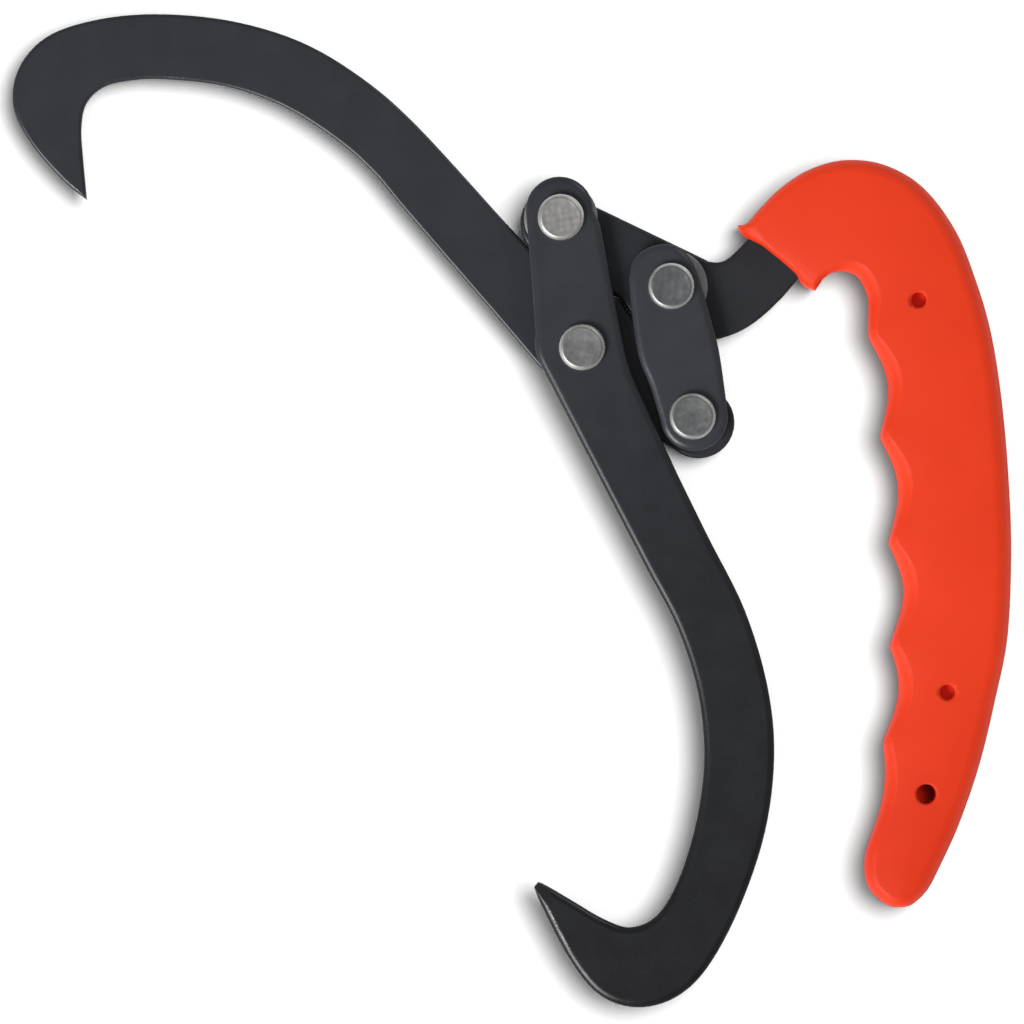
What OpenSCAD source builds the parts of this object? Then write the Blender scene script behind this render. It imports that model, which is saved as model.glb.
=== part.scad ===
// Log tongs: two hooked jaws of steel plate, a link plate and a handle bar, joined by four rivets as a
// parallelogram, with a plastic grip moulded over the bar. Drawn lying flat and fully open, in mm.
// Outlines are drawn about the main pivot, seen from the front, with x to the right and y up.

/* [Linkage] */
// Distance between the pivots along the lower jaw, and along the link plate
front_reach = 32.9; // [32.5:0.1:33.5]
// Distance between the pivots along the handle bar, and along the upper jaw
back_reach = 32.5; // [32:0.1:33]
// Direction from the main pivot to the lower jaw's tail pivot, in degrees
front_angle = 99.3; // [98.8:0.1:99.8]
// Direction from the main pivot to the upper jaw's tail pivot, in degrees
back_angle = -32; // [-32.5:0.1:-31.5]

/* [Plates] */
// Thickness of the jaws, the link plate and the handle bar
plate_t = 5; // [4:0.1:5.5]
// Thickness of the spacer washers between the two layers of plates
washer_t = 1; // [0.6:0.1:1.6]
// Outer diameter of the spacer washers
washer_d = 18.4; // [16:0.1:20]
// Outer diameter of the washer between the link plate and the upper jaw
link_jaw_washer_d = 16; // [12:0.1:20]
// Axial play beside each moving plate
end_play = 0.05; // [0.02:0.01:0.1]

/* [Rivets] */
// Diameter of the rivets' shanks
rivet_d = 8; // [6:0.1:9]
// Diameter of the rivets' heads
head_d = 11.6; // [10.5:0.1:13]
// Height of the rivets' heads
head_h = 2.2; // [1.5:0.1:3]
// Width of the chamfer round each head
head_chamfer = 1; // [0.4:0.1:1.2]
// Radial clearance between a rivet and the plate that turns on it
running_fit = 0.05; // [0.02:0.01:0.1]

/* [Handle bar] */
// Width of the bar's neck, where it enters the grip
neck_w = 16.3; // [15:0.1:17]
// Width of the bar inside the grip
bar_w = 13; // [10:0.5:15]
// Diameter of the bar's round end
bar_end_d = 16; // [15:0.5:17]
// Diameter of the hole at the bar's end, which the grip's plastic fills around the hanging hole
bar_eye_d = 9; // [8:0.5:10]

/* [Grip] */
// Thickness of the grip
grip_t = 20; // [18:0.5:24]
// Radius that rounds the grip's long edges
grip_round = 4.5; // [3:0.5:6]
// Depth of the finger grooves, as a share of their full depth
groove_share = 1; // [0:0.1:1.2]
// Diameter of the hanging hole through the grip
hang_d = 4.9; // [4:0.1:6]
// Diameter of the small blind holes above the bar
pin_hole_d = 3.8; // [3:0.1:5]
// Depth of those holes
pin_hole_depth = 4; // [2:0.5:7]

/* [Hidden] */

$fn = 64;
cut = 1;            // how far a cutter runs past the face it cuts
curve_steps = 6;    // stretches between two points of a long curve
fine_steps = 4;     // stretches between two points of a short curve
arc_steps = 16;     // stretches in an arc
bend_steps = 6;     // stretches in a rounded corner
tight_reach = 2;    // how far before a small corner its rounding starts
small_reach = 4;    // the same at a sharp corner
wide_reach = 6;     // the same at a soft corner

// the four pivots
jaw_pivot = [0, 0];
handle_jaw_pivot = front_reach * [cos(front_angle), sin(front_angle)];
link_jaw_pivot = back_reach * [cos(back_angle), sin(back_angle)];
handle_link_pivot = handle_jaw_pivot + link_jaw_pivot;

// heights of the layers: the handle bar lies in the middle of the grip
back_z = (grip_t - plate_t) / 2;
washer_z = back_z + plate_t;
front_z = washer_z + washer_t + end_play;
head_z = front_z + plate_t + end_play;

// the upper jaw: from the hook's point along the outer edge, over the lug that stops the bar when the tongs are
// open, to the tail, and back along the inner edge
upper_outer = [[-123.8, 36.9], [-130, 42], [-137.9, 51.2], [-142.2, 60.4], [-140.8, 69.9], [-134, 77.6],
    [-122.3, 81.8], [-107, 83.4], [-88.3, 81.8], [-70.4, 76.5], [-55, 67.4], [-41.3, 55.5], [-20.8, 33.1]];
upper_bend = [-2.8, 13.5];
upper_shoulder = [8.7, 12.9];
upper_stop = [13.05, 7.2];
upper_stop_foot = [16.4, 0.4];
upper_heel = [-9.2, -6.6];
upper_inner = [[-20.7, 7], [-43.8, 33.7], [-52.5, 44], [-62, 52.3], [-75, 60.4], [-89.5, 65.4],
    [-105, 67.1], [-114, 66.6], [-120, 64.9], [-124, 60.9], [-125.2, 55], [-124.8, 47.5], [-123.8, 36.9]];
upper_tail_r = 9;
upper_tail_middle = link_jaw_pivot + [1.6, -1.5];

// the lower jaw: the inner edge up to the bend, the tail, and down along the outer edge to the hook's point
lower_inner = [[-12, -134.9], [-11.4, -134], [-10, -133.8], [-2.4, -138.2], [5.5, -142.8], [12.3, -144.8],
    [19, -141.5], [24.4, -132.1], [28.7, -117.5], [30.5, -102], [28.9, -86], [24, -70.4], [16.6, -56.1]];
lower_bend = [-12.3, -0.5];
lower_side = [4.4, 30.8];
lower_heel = [11.4, -5];
lower_outer = [[24, -32], [31.5, -47.3], [40.6, -65.5], [46.3, -84.5], [48, -102], [45.7, -121], [39.3, -140],
    [31.2, -155], [23, -162.5], [13.5, -164.8], [4.6, -161.8], [-2.6, -153.5], [-9.8, -140], [-12, -134.9]];
lower_tail_r = 8.4;
lower_tail_middle = handle_jaw_pivot + [-0.3, 1.8];

// the link plate: round its head and down its right side, then up its left side
link_head = [[11.7, 17], [12.8, 21.9], [16.4, 24.8], [21, 25.8], [25.2, 24.3], [28, 20.5], [30.2, 14],
    [32, 7.6], [33.7, 1.5], [34.8, -4.5], [36, -13.3]];
link_side = [[19.7, -18.6], [17, -9.6], [14.2, -2.4], [12.5, 8.2], [11.7, 17]];
link_foot_r = 8.4;
link_foot_middle = link_jaw_pivot + [0.45, -0.25];

// the handle bar: its eye, its top edge and its bottom edge up to the grip's mouth
bar_eye_r = 9.2;
bar_eye_middle = handle_jaw_pivot + [-0.9, -1.3];
bar_top = [[3.2, 35.3], [28.4, 23.2], [32, 21.5], [35.3, 21.6], [38.2, 23.7], [42, 27.8]];
bar_bottom = [[50, 12.4], [44.4, 7.2], [38.5, 3.6], [31, 1.6], [22, 2], [14.8, 5.8], [9.4, 12.6]];
// the bar's middle line inside the grip, from the mouth to its round end
bar_line = [[48, 22.2], [57.5, 31], [68, 33.6], [78, 26.5], [84, 11.8], [88.6, -8], [91.5, -30], [92.6, -50],
    [92.6, -68], [91.2, -86.1], [88.9, -99], [85.9, -111.5]];
neck_stations = 2;       // stations over which the neck narrows to the bar's own width
nearby = 0.05;           // the part of a station over which the line's direction is taken
lower_pin_hole = bar_line[9];
upper_pin_hole = bar_line[4];
hang_hole = bar_line[11];

// the grip: its outer and inner edges at matching stations, from the mouth to the bottom end
grip_outer = [[39, 30.7], [41.3, 31.1], [44.3, 34.5], [49.7, 39.9], [56.8, 44.5], [65.5, 46.9], [75.5, 45.8],
    [85.2, 40.2], [93.4, 29.4], [98.7, 16.4], [102.4, 3.4], [105, -13], [106.7, -32], [107.4, -51],
    [106.5, -72], [103.4, -88], [99.4, -104.4], [94.4, -119], [89.8, -129.2], [86.5, -135.5], [83, -139],
    [80.6, -140]];
grip_inner = [[58.2, 14.1], [59.4, 15.9], [60.4, 17.2], [62, 18.4], [64, 19], [66.3, 18.9], [68.5, 18],
    [70.2, 15.9], [71.6, 12], [71.6, 7], [71.8, 1.5], [73.6, -14], [75.5, -32], [76.8, -52], [77.1, -72],
    [76.2, -87], [75.3, -99], [73.1, -112.5], [70.8, -127], [71.4, -134.3], [75.2, -138.7], [78, -140]];
ridges_y = [2.4, -22.8, -49.1, -74.8, -98.8, -127];   // the finger ridges, and the end of the last groove
groove_depths = [3.4, 3.3, 3.3, 2.9, 2.1];
groove_skew = 0.88;      // puts each groove's deepest place a little above its middle
groove_power = 1.25;
grip_end_y = -140;
mouth_taper = 2.4;       // how much thinner each face is at the mouth
mouth_lip = 1;           // how far the mouth's lip stands out again
mouth_stations = 8;      // stations over which the faces reach their full height
mouth_power = 1.5;
end_share = 0.8;         // how round the bottom end is, as a share of the long edges' rounding
thin_share = 0.45;       // the largest edge radius, as a share of a ring's width
station_steps = 5;       // rings between two stations
corner_steps = 4;        // facets round each long edge

function unit(v) = v / norm(v);
// a point on the smooth curve between b and c, where a and d are the points before and after them
function between(a, b, c, d, t) = 0.5 * (2 * b + (c - a) * t + (2 * a - 5 * b + 4 * c - d) * t * t
    + (3 * b - a - 3 * c + d) * t * t * t);
// a point on the smooth curve through the points p, at station s
function on_curve(p, s) = let (n = len(p), i = min(floor(s), n - 2))
    between(p[max(i - 1, 0)], p[i], p[i + 1], p[min(i + 2, n - 1)], s - i);
function curve(p, step_count = curve_steps) = let (n = (len(p) - 1) * step_count)
    [for (k = [0 : n]) on_curve(p, k / step_count)];
function arc(middle, r, from, to) = [for (k = [0 : arc_steps]) let (a = from + (to - from) * k / arc_steps)
    middle + r * [cos(a), sin(a)]];
// rounds the corner at b, starting a given reach before it
function corner(a, b, c, reach) = let (p = b + reach * unit(a - b), q = b + reach * unit(c - b))
    [for (k = [0 : bend_steps]) let (t = k / bend_steps)
        (1 - t) * (1 - t) * p + 2 * t * (1 - t) * b + t * t * q];

upper_outline = concat(curve(upper_outer),
    corner(upper_outer[len(upper_outer) - 1], upper_bend, upper_shoulder, wide_reach),
    corner(upper_bend, upper_shoulder, upper_stop, tight_reach),
    corner(upper_shoulder, upper_stop, upper_stop_foot, tight_reach),
    corner(upper_stop, upper_stop_foot, upper_tail_middle, tight_reach),
    arc(upper_tail_middle, upper_tail_r, back_angle + 90, back_angle - 90),
    corner(upper_tail_middle, upper_heel, upper_inner[0], small_reach), curve(upper_inner));

lower_outline = concat(curve(lower_inner),
    corner(lower_inner[len(lower_inner) - 1], lower_bend, lower_tail_middle, small_reach),
    arc(lower_tail_middle, lower_tail_r, 180, 0),
    [lower_side], corner(lower_side, lower_heel, lower_outer[0], wide_reach), curve(lower_outer));

link_outline = concat(curve(link_head, fine_steps), arc(link_foot_middle, link_foot_r, 15, -168),
    curve(link_side, fine_steps));

// the bar's edge beside its middle line: the neck's width at the mouth, narrowing to the bar's own width
function along(s) = unit(on_curve(bar_line, s + nearby) - on_curve(bar_line, max(s - nearby, 0)));
function bar_half(s) = (bar_w + (neck_w - bar_w) * pow(max(0, 1 - s / neck_stations), 2)) / 2;
function bar_side(s, side) = let (u = along(s)) on_curve(bar_line, s) + side * bar_half(s) * [-u[1], u[0]];
bar_stations = [for (k = [1 : fine_steps * (len(bar_line) - 1) - 1]) k / fine_steps];
bar_outline = concat(arc(bar_eye_middle, bar_eye_r, 238, 27), curve(bar_top, fine_steps),
    [for (s = bar_stations) bar_side(s, 1)],
    [for (k = [len(bar_stations) - 1 : -1 : 0]) bar_side(bar_stations[k], -1)],
    curve(bar_bottom, fine_steps));

// the grip's inner edge, with a groove between each two ridges
function groove_at(i, y) = let (t = (ridges_y[i] - y) / (ridges_y[i] - ridges_y[i + 1]))
    t <= 0 || t >= 1 ? 0
        : groove_share * groove_depths[i] * pow(sin(180 * pow(t, groove_skew)), groove_power);
function groove(y) = max([for (i = [0 : len(groove_depths) - 1]) groove_at(i, y)]);
function inner_edge(s) = let (p = on_curve(grip_inner, s)) p + groove(p[1]) * [1, 0];
// how far each face stands back from the grip's full thickness: tapered at the mouth, round at the end
function end_inset(d) = d >= grip_round ? 0
    : grip_round - sqrt(max(0, pow(grip_round, 2) - pow(grip_round - d, 2)));
function face_inset(s) = mouth_taper * pow(max(0, 1 - s / mouth_stations), mouth_power)
    - mouth_lip * max(0, 1 - s)
    + end_share * end_inset((on_curve(grip_outer, s)[1] + on_curve(grip_inner, s)[1]) / 2 - grip_end_y);
// one ring of the grip: a rounded rectangle standing on the line between the two edges
function ring(s) = let (a = inner_edge(s), b = on_curve(grip_outer, s), w = norm(b - a), u = unit(b - a),
    low = face_inset(s), high = grip_t - low, r = min(grip_round, thin_share * w))
    [for (q = [0 : 3], k = [0 : corner_steps]) let (turn = 90 * q + 90 * k / corner_steps,
        x = (q == 0 || q == 3 ? w - r : r) + r * cos(turn), z = (q < 2 ? high - r : low + r) + r * sin(turn))
        [a[0] + u[0] * x, a[1] + u[1] * x, z]];
grip_rings = [for (k = [0 : station_steps * (len(grip_outer) - 1)]) ring(k / station_steps)];

low_corner = [min([for (p = upper_outline) p[0]]), min([for (p = lower_outline) p[1]])];
high_corner = [max([for (r = grip_rings, p = r) p[0]]), max([for (p = upper_outline) p[1]])];
tool_middle = (low_corner + high_corner) / 2;

// moves a piece drawn about the main pivot so that the tool's middle is at the origin
module place() {
    translate([-tool_middle[0], -tool_middle[1], 0]) children();
}

module upright(at, r, z, h) {
    translate([at[0], at[1], z]) cylinder(h = h, r = r);
}

module plate(outline, z, fixed, turning) {
    difference() {
        translate([0, 0, z]) linear_extrude(plate_t) polygon(outline);
        for (at = fixed) upright(at, rivet_d / 2, z - cut, plate_t + 2 * cut);
        for (at = turning) upright(at, rivet_d / 2 + running_fit, z - cut, plate_t + 2 * cut);
    }
}

module bar_plate() {
    difference() {
        union() {
            translate([0, 0, back_z]) linear_extrude(plate_t) polygon(bar_outline);
            upright(hang_hole, bar_end_d / 2, back_z, plate_t);
        }
        upright(hang_hole, bar_eye_d / 2, back_z - cut, plate_t + 2 * cut);
    }
}

// a rivet: shank, back head and front head, each head with its chamfer
module rivet(at) {
    head_r = head_d / 2;
    top_r = head_r - head_chamfer;
    rim = head_h - head_chamfer;
    color("darkgray") place() translate([at[0], at[1], 0]) union() {
        translate([0, 0, back_z - cut]) cylinder(h = head_z - back_z + 2 * cut, r = rivet_d / 2);
        translate([0, 0, head_z]) cylinder(h = rim, r = head_r);
        translate([0, 0, head_z + rim]) cylinder(h = head_chamfer, r1 = head_r, r2 = top_r);
        translate([0, 0, back_z - rim]) cylinder(h = rim, r = head_r);
        translate([0, 0, back_z - head_h]) cylinder(h = head_chamfer, r1 = top_r, r2 = head_r);
    }
}

module washer(at, d = washer_d) {
    color("gray") place() difference() {
        upright(at, d / 2, washer_z, washer_t);
        upright(at, rivet_d / 2, washer_z - cut, washer_t + 2 * cut);
    }
}

module lower_jaw() {
    color("#3a3b3f") place() plate(lower_outline, front_z, [], [jaw_pivot, handle_jaw_pivot]);
}

module upper_jaw() {
    color("#36373b") place() plate(upper_outline, back_z, [jaw_pivot, link_jaw_pivot], []);
}

module link_plate() {
    color("#3a3b3f") place() plate(link_outline, front_z, [], [handle_link_pivot, link_jaw_pivot]);
}

module handle_bar() {
    color("#343539") place() difference() {
        bar_plate();
        for (at = [handle_jaw_pivot, handle_link_pivot])
            upright(at, rivet_d / 2, back_z - cut, plate_t + 2 * cut);
    }
}

module grip() {
    ring_size = len(grip_rings[0]);
    last = len(grip_rings) - 1;
    sides = [for (i = [0 : last - 1], k = [0 : ring_size - 1]) let (m = (k + 1) % ring_size)
        each [[i * ring_size + k, i * ring_size + m, (i + 1) * ring_size + m],
            [i * ring_size + k, (i + 1) * ring_size + m, (i + 1) * ring_size + k]]];
    caps = [[for (k = [ring_size - 1 : -1 : 0]) k], [for (k = [0 : ring_size - 1]) last * ring_size + k]];
    color("#ee4020") place() difference() {
        polyhedron([for (r = grip_rings, p = r) p], concat(sides, caps));
        bar_plate();
        upright(hang_hole, hang_d / 2, -cut, grip_t + 2 * cut);
        for (at = [upper_pin_hole, lower_pin_hole]) {
            upright(at, pin_hole_d / 2, -cut, pin_hole_depth + cut);
            upright(at, pin_hole_d / 2, grip_t - pin_hole_depth, pin_hole_depth + cut);
        }
    }
}

lower_jaw();
upper_jaw();
link_plate();
handle_bar();
grip();
rivet(handle_jaw_pivot);  // handle_jaw_rivet
rivet(jaw_pivot);  // jaw_rivet
rivet(handle_link_pivot);  // handle_link_rivet
rivet(link_jaw_pivot);  // link_jaw_rivet
washer(handle_jaw_pivot);  // handle_jaw_washer
washer(jaw_pivot);  // jaw_washer
washer(handle_link_pivot);  // handle_link_washer
washer(link_jaw_pivot, link_jaw_washer_d);  // link_jaw_washer
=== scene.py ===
"""Log tongs on a white floor: four painted steel plates, four rivets with their washers, and a moulded finger
grip. Lengths are in metres, unless a name ends in _mm."""

from math import cos, radians, sin

import bmesh
import bpy
import numpy as np
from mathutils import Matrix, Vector
from mathutils.geometry import tessellate_polygon


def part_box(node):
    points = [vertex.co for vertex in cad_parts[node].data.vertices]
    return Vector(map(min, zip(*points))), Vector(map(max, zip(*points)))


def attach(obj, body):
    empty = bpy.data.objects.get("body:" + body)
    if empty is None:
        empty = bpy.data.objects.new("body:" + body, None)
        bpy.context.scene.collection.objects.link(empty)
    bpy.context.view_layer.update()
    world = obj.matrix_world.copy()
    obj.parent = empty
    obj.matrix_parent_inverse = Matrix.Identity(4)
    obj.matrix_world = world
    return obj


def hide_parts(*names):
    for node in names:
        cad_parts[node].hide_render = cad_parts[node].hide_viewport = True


bl_info = {
    "name": "Log tongs",
    "version": (1, 0, 0),
    "blender": (4, 5, 0),
    "location": "3D Viewport > Sidebar > Log tongs",
    "description": "Builds the steel plates, rivets, washers and moulded grip of a pair of log tongs",
    "category": "Add Mesh",
}

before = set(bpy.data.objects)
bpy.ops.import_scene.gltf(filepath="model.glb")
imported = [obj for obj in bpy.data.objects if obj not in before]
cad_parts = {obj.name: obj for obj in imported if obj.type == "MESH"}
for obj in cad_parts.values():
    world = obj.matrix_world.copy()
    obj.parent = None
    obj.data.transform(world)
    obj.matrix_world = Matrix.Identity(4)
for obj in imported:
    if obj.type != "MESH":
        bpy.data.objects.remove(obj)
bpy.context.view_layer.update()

MM = 0.001
PLATES = {"lower_jaw": "lower_jaw", "upper_jaw": "upper_jaw", "link_plate": "link", "handle_bar": "handle"}
FRONT_PLATES = ("lower_jaw", "link_plate")
RIVETS = {"handle_jaw_rivet": "handle", "jaw_rivet": "upper_jaw",
          "handle_link_rivet": "handle", "link_jaw_rivet": "upper_jaw"}
WASHERS = {"handle_jaw_washer": "handle", "jaw_washer": "upper_jaw",
           "handle_link_washer": "handle", "link_jaw_washer": "upper_jaw"}
RIVETS_IN = {"lower_jaw": ("jaw_rivet", "handle_jaw_rivet"), "upper_jaw": ("jaw_rivet", "link_jaw_rivet"),
             "link_plate": ("handle_link_rivet", "link_jaw_rivet"),
             "handle_bar": ("handle_jaw_rivet", "handle_link_rivet")}


def middle(node):
    """The middle of a node's box, as an array."""
    low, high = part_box(node)
    return (np.array(low) + np.array(high)) / 2


MAIN_PIVOT = middle("jaw_rivet")[:2]
# painted light: where the paint is drawn lightest, between the upper two rivets, and how far from there this
# reaches
LIGHT_ON_PAINT_CENTRE = (MAIN_PIVOT + middle("handle_jaw_rivet")[:2]) / 2
LIGHT_ON_PAINT_REACH = 28 * MM
# painted light: how much lighter each plate's paint is drawn halfway between its ends, for how the light falls on
# it, how much more between the upper two rivets, and how much more per metre upwards
LIGHT_ON_PAINT = {"lower_jaw": (0.3, 0.45, 2.6), "upper_jaw": (0.66, 0.0, 0.0), "link_plate": (0.95, 0.0, 0.0),
        "handle_bar": (0.52, 0.0, 0.0)}
# the way that the edges face whose paint is chipped, how much of it is lost, and how far from the hook's point
# this reaches
CHIPPED = {"lower_jaw": ([-0.87, -0.5], 1.0, 24 * MM), "upper_jaw": ([0.1, -0.99], 0.75, 50 * MM)}
CHIPPED_FURTHER = 0.08  # the share of it that is lost further along those edges
# how bright each rivet's face and each washer is, between the dull and the bright steel
POLISH = {"handle_jaw_rivet": 1.0, "jaw_rivet": 0.45, "handle_link_rivet": 0.12, "link_jaw_rivet": 0.18,
          **dict.fromkeys(WASHERS, 0.5)}
ROUND, ROUND_HOLE = 96, 48  # points round a turned piece, and round a smaller hole
CREASE = radians(50)  # an edge bent by more than this is shaded sharp


def from_pivot(points_mm):
    """Points given in mm from the main pivot, in the frame's metres."""
    return MAIN_PIVOT + MM * np.asarray(points_mm, float)


# the hooks' points, where the rolled edges run out
HOOK_POINTS = from_pivot([[-123.8, 36.9], [-11.8, -134.5]])

# the grip's palm edge and finger edge at matching stations from its mouth to its bottom end, in mm from the pivot
PALM_EDGE_MM = [[39, 30.7], [41.3, 31.1], [44.3, 34.5], [49.7, 39.9], [56.8, 44.5], [65.5, 46.9], [75.5, 45.8],
                [85.2, 40.2], [93.4, 29.4], [98.7, 16.4], [102.4, 3.4], [105, -13], [106.7, -32], [107.4, -51],
                [106.5, -72], [103.4, -88], [99.4, -104.4], [94.4, -119], [89.8, -129.2], [86.5, -135.5],
                [83, -139], [80.6, -140]]
FINGER_EDGE_MM = [[58.4, 14.3], [59.5, 15.9], [60.4, 17.2], [62, 18.4], [64, 19], [66.3, 18.9], [68.5, 18],
                  [70.2, 15.9], [71.6, 12], [71.6, 7], [71.8, 1.5], [73.6, -14], [75.5, -32], [76.8, -52],
                  [77.1, -72], [76.2, -87], [75.3, -99], [73.1, -112.5], [70.8, -127], [71.4, -134.3],
                  [75.2, -138.7], [78, -140]]
RIDGES_MM = [2.4, -22.8, -49.1, -74.8, -98.8, -127]  # heights of the finger ridges
GROOVES_MM = [3.4, 3.3, 3.3, 2.9, 2.1]  # depth of the groove below each ridge
GROOVE_SKEW, GROOVE_POWER = 0.88, 1.25
LAST_STATION = len(PALM_EDGE_MM) - 1
# stations of the grip
SPINE_END = 18.3  # its middle line ends
ARCH = (3.5, 10)  # from and to: the arch over the first finger
END_FACET = 17  # the finger side's facet widens towards the bottom end
PALM_FULL = 9  # the palm's rounding reaches its full width
MOUTH_TURNED = 3  # the columns have turned away from the mouth's line
TAPER_START = 7  # the faces begin to draw in towards the mouth
# the mouth's edge: mm along the line between its corners from the palm side, mm in front of that line, and the
# width of its rounded lip
MOUTH_MM = [[0, 0, 2.6], [0.6, 0.5, 2.6], [1.5, 0.95, 2.5], [2.7, 1.16, 2.4], [4, 1.1, 2.2], [5.2, 0.76, 1.9],
            [6.6, 0.4, 1.5], [8, 0.1, 1.3], [11, 0.02, 1.1], [14, -0.06, 1.1], [17, -0.02, 1.1],
            [19.4, 0.1, 1.2], [20.8, 0.72, 1.4], [22.1, 0.92, 1.5], [23.4, 0.8, 1.5], [24.5, 0.4, 1.4],
            [25.4, 0, 1.2]]
MOUTH_ALONG = np.array([0.764, -0.646])  # the way from the mouth's palm corner to the other
MOUTH_OUT = np.array([-0.646, -0.764])  # the way in which the mouth opens
MOUTH_STEPS = ((1.83, 4.5), (1.87, 1.64))  # mm from station 0 to 1 and 1 to 2, palm and finger side
MOUTH_BEND = 2.4  # station where the rows no longer follow the mouth
# the grip's round holes
PIN_HOLES = from_pivot([[84, 11.8], [91.2, -86.1]])
HANGING_HOLE = from_pivot([85.9, -111.5])


def linear(text):
    """An sRGB hex colour as linear red, green, blue and alpha."""
    value = np.array([int(text[i:i + 2], 16) for i in (1, 3, 5)]) / 255
    low, high = value / 12.92, ((value + 0.055) / 1.055) ** 2.4
    return (*np.where(value <= 0.04045, low, high).tolist(), 1.0)


def length(name, description, default_mm):
    """A setting that is a length."""
    return bpy.props.FloatProperty(name=name, description=description, default=default_mm * MM,
                                   min=0.0, unit="LENGTH", subtype="DISTANCE", precision=5)


def angle(name, description, degrees):
    """A setting that is an angle."""
    return bpy.props.FloatProperty(name=name, description=description, default=radians(degrees),
                                   unit="ROTATION", subtype="ANGLE")


def colour(name, description, text):
    """A setting that is a colour, given as sRGB hex."""
    return bpy.props.FloatVectorProperty(name=name, description=description, default=linear(text), size=4,
                                         min=0.0, max=1.0, subtype="COLOR")


def number(name, description, default, unit="NONE"):
    """A setting that is any other number."""
    return bpy.props.FloatProperty(name=name, description=description, default=default, unit=unit)


class PlateSettings(bpy.types.PropertyGroup):
    """The steel plates: the jaws, the link plate and the handle bar."""
    front_roll: length("Front roll width", "Width of the rolled edge on the two front plates", 1.8)
    back_roll: length("Back roll width", "Width of the rolled edge on the two back plates", 0.95)
    roll_tilt: angle("Roll tilt", "Tilt of the rolled edge where it meets the side", 46)
    corner: length("Corner radius", "Radius between the rolled edge and the side", 0.15)
    rear_edge: length("Rear edge", "Radius of the plates' rear edges", 0.3)
    point_slope: number("Point slope", "Room for the rolled edge beside a hook's point, per distance from it", 0.3)
    hole: length("Rivet hole", "Radius of the holes for the rivets", 4.06)
    eye: length("Bar eye", "Radius of the hole at the bar's end", 4.5)
    paint: colour("Paint", "Colour of the satin enamel", "#0C0D10")
    # painted light: the paint's lighter colour, drawn where the light falls on the plates, most near the upper
    # pivots
    lit_paint: colour("Worn paint", "Its lighter colour where it is rubbed, near the pivots", "#36383E")
    bare_steel: colour("Bare steel", "Colour of the steel where an edge has lost its paint", "#A9A8A6")


class RivetSettings(bpy.types.PropertyGroup):
    """The rivets and washers."""
    rim: length("Rim width", "Width of the bevelled rim round each head", 0.85)
    rim_inner: angle("Rim's inner tilt", "Tilt of that rim where it meets the face", 26)
    rim_outer: angle("Rim's outer tilt", "Tilt of that rim where it meets the head's side", 58)
    corner: length("Corner radius", "Radius between the rim and the head's side", 0.15)
    dish: length("Dish", "How much lower the middle of a head is", 0.05)
    dent: length("Dents", "Depth of the hammer marks on a head", 0.04)
    shank: length("Shank radius", "Radius of the rivets' shanks", 4.0)
    steel: colour("Rivet steel", "Colour of the zinc-plated steel where it is bright", "#C2C1BF")
    steel_dull: colour("Dull steel", "Its colour where it is dull", "#7E8082")
    washer: colour("Washer steel", "Colour of the washers", "#B6B6B4")


class GripSettings(bpy.types.PropertyGroup):
    """The moulded grip."""
    finger_ridge: length("Facet at a ridge", "Width of the finger side's facet at the ridges", 1.5)
    finger_arch: length("Facet in the arch", "Width of the facet over the first finger", 3.2)
    finger_groove: length("Facet in a groove", "Width of the finger side's facet in the grooves", 3.6)
    finger_end: length("Facet at the end", "Width of the facet round the bottom end", 2.6)
    finger_tilt: angle("Facet tilt", "Tilt where that facet meets the face", 22)
    palm_width: length("Palm edge width", "Width of the rounding along the palm side", 4.2)
    palm_mouth: length("Palm edge at the mouth", "Width of that rounding beside the mouth", 1.6)
    palm_tilt: angle("Palm edge tilt", "Tilt where that rounding meets the face", 5)
    crown: length("Crown", "How much each face is domed", 0.35)
    seam: length("Seam", "Height of the mould's parting line", 0.12)
    mouth_taper: length("Mouth taper", "How much thinner each face is at the mouth", 2.0)
    lip_tilt: angle("Lip tilt", "Tilt where the mouth's lip meets the face", 24)
    hanging_hole: length("Hanging hole", "Radius of the hanging hole", 2.45)
    pin_hole: length("Pin holes", "Radius of the two small holes", 1.9)
    pin_depth: length("Pin hole depth", "Depth of the small holes", 4.0)
    plastic: colour("Plastic", "Colour of the grip", "#F63B0A")
    plastic_deep: colour("Deep plastic", "Its deeper colour, in slow patches and at the bottom end", "#E93404")


class StageSettings(bpy.types.PropertyGroup):
    """The camera, lights and floor."""
    distance: length("Camera distance", "From the tool's plates to the camera", 4000)
    view_width: length("View width", "What the camera sees across the tool's plates", 256)
    key: number("Key light", "Power of the large soft light at the lower left", 27, "POWER")
    rim: number("Rim light", "Power of the weaker light at the upper right", 1.0, "POWER")
    floor_sun: number("Floor light", "Strength of the light that only the floor receives", 24.2)
    floor_sky: number("Floor sky", "Strength of the wider light overhead that only the floor receives", 12)
    ceiling: number("Ceiling", "Brightness overhead", 0.27)
    walls: number("Walls", "Brightness of the walls, between the brightest and the darkest", 0.72)
    wall_contrast: number("Wall contrast", "How much the lower left wall is brighter than that", 0.28)


def put_attribute(mesh, name, values):
    """Gives each point of a mesh a number, for its material to read."""
    mesh.attributes.new(name, "FLOAT", "POINT").data.foreach_set("value", values.astype(np.float32))


def points_of(mesh):
    """A mesh's points, as an array."""
    places = np.zeros(len(mesh.vertices) * 3)
    mesh.vertices.foreach_get("co", places)
    return places.reshape(-1, 3)


def put_mesh(name, points, faces, attributes=None):
    """A new smooth-shaded object in the scene from arrays of points and faces, with point attributes."""
    mesh = bpy.data.meshes.new(name)
    mesh.from_pydata(points.tolist(), [], faces)
    for key, values in (attributes or {}).items():
        put_attribute(mesh, key, values)
    mesh.shade_smooth()
    piece = bpy.data.objects.new(name, mesh)
    bpy.context.scene.collection.objects.link(piece)
    return piece


def lit_pieces():
    """The collection of the tool's own pieces, which the studio lights shine on."""
    name = "tongs_pieces"
    return bpy.data.collections.get(name) or bpy.data.collections.new(name)


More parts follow.
